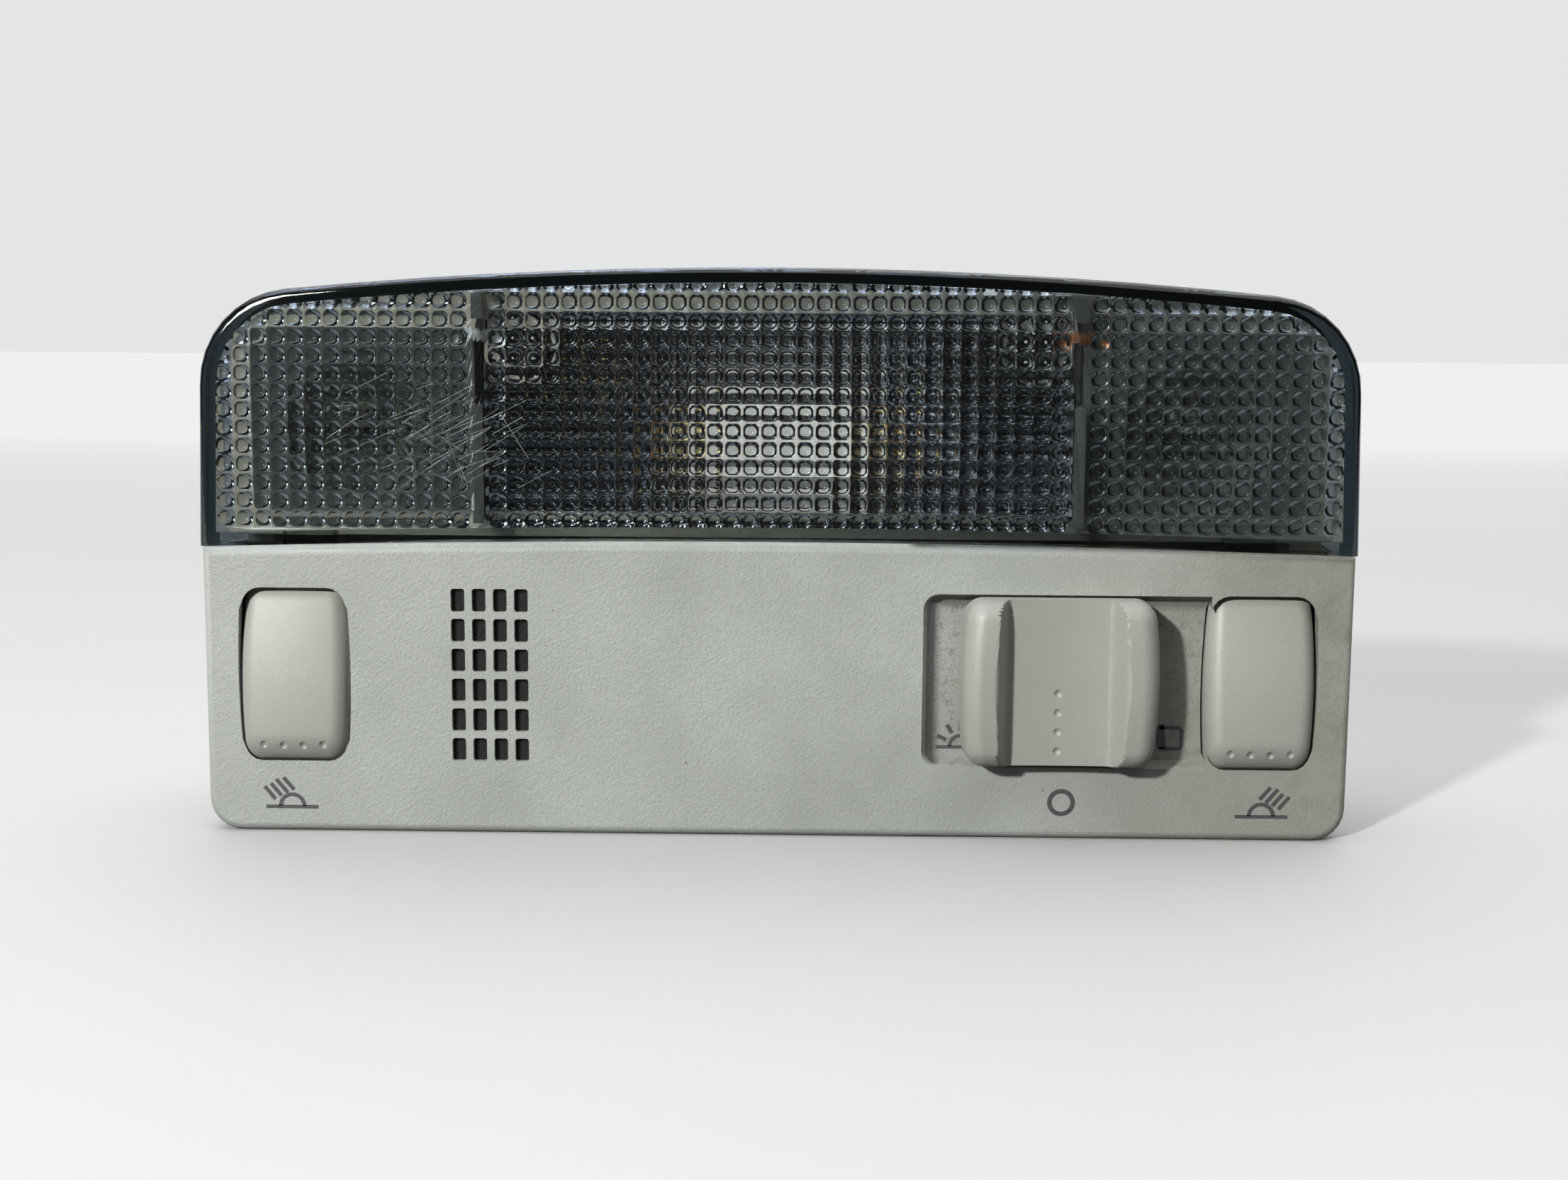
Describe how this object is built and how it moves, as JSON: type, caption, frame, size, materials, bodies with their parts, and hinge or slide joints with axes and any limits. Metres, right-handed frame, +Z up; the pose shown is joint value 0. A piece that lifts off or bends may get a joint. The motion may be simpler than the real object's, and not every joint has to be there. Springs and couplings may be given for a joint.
{
  "type": "car dome light",
  "caption": "Car roof lamp with a smoke pillow lens over reading and room lamps, and a grey cover with rocker buttons, a slide switch and a vent grid.",
  "frame": {"origin": "middle of the underside, half way between the slide knob's ridges and the bulb holders' backs", "axes": "+X to the right along the long side as seen from the front, +Y from the face to the back, +Z up"},
  "size_m": [0.1804, 0.046, 0.0891],
  "materials": {
    "cover_plastic": "fine-grained light grey moulding",
    "button_plastic": "smooth light grey moulding",
    "smoke_lens": "glossy smoke-tinted acrylic",
    "housing_plastic": "cream moulding",
    "reflector_metal": "metallised",
    "bulb_glass": "clear glass",
    "brass": "stamped",
    "copper_bronze": "copper-brown strip",
    "spring_steel": "bright strip",
    "black_plastic": "black moulding",
    "filter_foam": "black open foam"
  },
  "bodies": {
    "root": {"front_cover": "cover_plastic", "lens": "smoke_lens", "housing": "housing_plastic", "centre_reflector": "reflector_metal", "left_reflector": "reflector_metal", "right_reflector": "reflector_metal", "festoon_glass": "bulb_glass", "festoon_caps": "brass", "left_festoon_clip": "brass", "right_festoon_clip": "brass", "left_reading_bulb": "bulb_glass", "right_reading_bulb": "bulb_glass", "left_bulb_holder": "black_plastic", "right_bulb_holder": "black_plastic", "left_bridge_contact": "spring_steel", "right_bridge_contact": "copper_bronze", "switch_carrier": "black_plastic", "feed_track": "brass", "ground_track": "brass", "left_rocker_contact": "copper_bronze", "right_rocker_contact": "copper_bronze", "vent_filter": "filter_foam", "connector_shell": "black_plastic", "connector_pins": "brass", "left_retaining_spring": "spring_steel", "right_retaining_spring": "spring_steel"},
    "left_button": {"left_rocker": "button_plastic"},
    "right_button": {"right_rocker": "button_plastic"},
    "slider": {"slide_knob": "button_plastic", "slide_carriage": "housing_plastic", "slide_contact": "copper_bronze"}
  },
  "joints": [
    {"name": "left_rocker_tilt", "type": "hinge", "parent": "root", "child": "left_button", "pos_m": [-0.0758, -0.008, 0.02525], "axis": [1, 0, 0], "range_deg": [0, 13.4]},
    {"name": "right_rocker_tilt", "type": "hinge", "parent": "root", "child": "right_button", "pos_m": [0.0758, -0.008, 0.02525], "axis": [1, 0, 0], "range_deg": [0, 13.4]},
    {"name": "knob_slide", "type": "slide", "parent": "root", "child": "slider", "axis": [1, 0, 0], "range_m": [-0.005, 0.005]}
  ]
}
